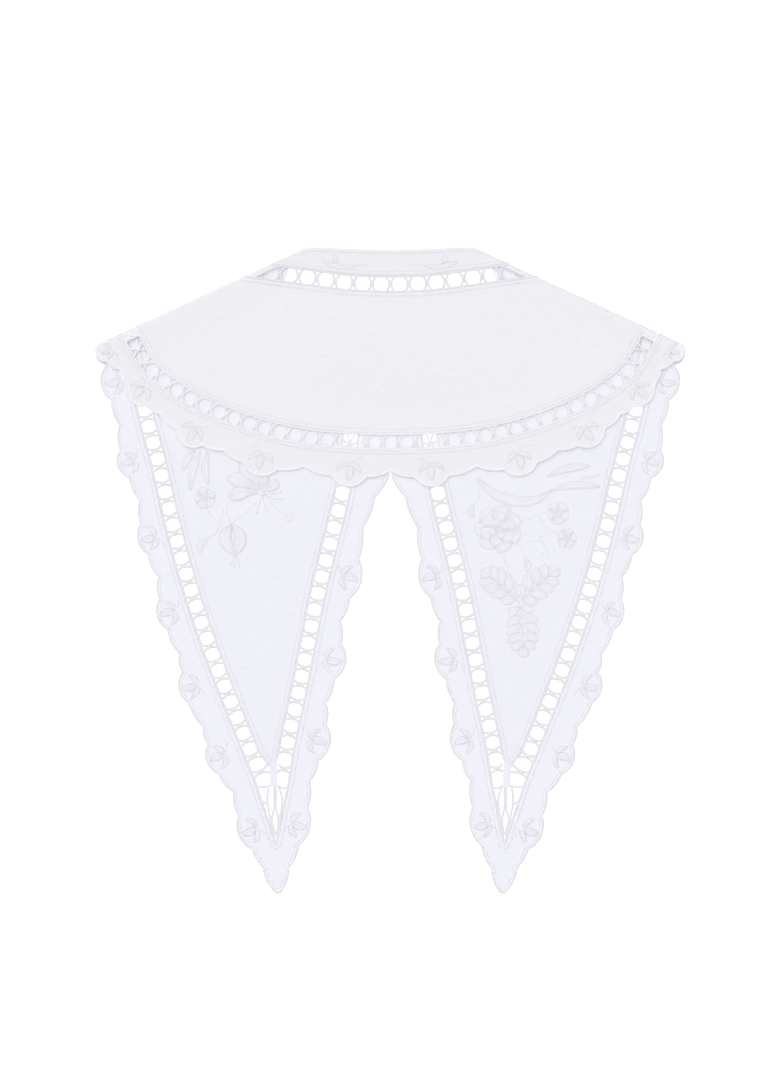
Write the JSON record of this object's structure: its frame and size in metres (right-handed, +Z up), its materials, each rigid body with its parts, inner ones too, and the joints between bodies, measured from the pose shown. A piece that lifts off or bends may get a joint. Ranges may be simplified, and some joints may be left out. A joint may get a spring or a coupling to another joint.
{
  "type": "cutwork collar",
  "caption": "White cutwork collar laid flat: a wide scalloped back folded at the shoulders over two long pointed fronts, with openwork bands.",
  "frame": {"origin": "centre of the collar's box on the surface that it lies on", "axes": "+Y from the points of the fronts to the back of the neck, +Z up from the surface, +X across to the right as seen from above"},
  "size_m": [0.4116, 0.4515, 0.0044],
  "materials": {
    "panel_cloth": "matt plain weave",
    "border_cloth": "matt plain weave with a stitched scalloped edge",
    "openwork_thread": "soft white thread with a slight sheen"
  },
  "bodies": {
    "root": {"back_neck_border": "border_cloth", "back_neck_openwork": "openwork_thread", "back_panel": "panel_cloth", "back_openwork": "openwork_thread", "back_border": "border_cloth", "front_neck_border_left": "border_cloth", "front_neck_openwork_left": "openwork_thread", "front_panel_left": "panel_cloth", "front_openwork_left": "openwork_thread", "front_border_left": "border_cloth", "front_neck_border_right": "border_cloth", "front_neck_openwork_right": "openwork_thread", "front_panel_right": "panel_cloth", "front_openwork_right": "openwork_thread", "front_border_right": "border_cloth"}
  },
  "joints": []
}
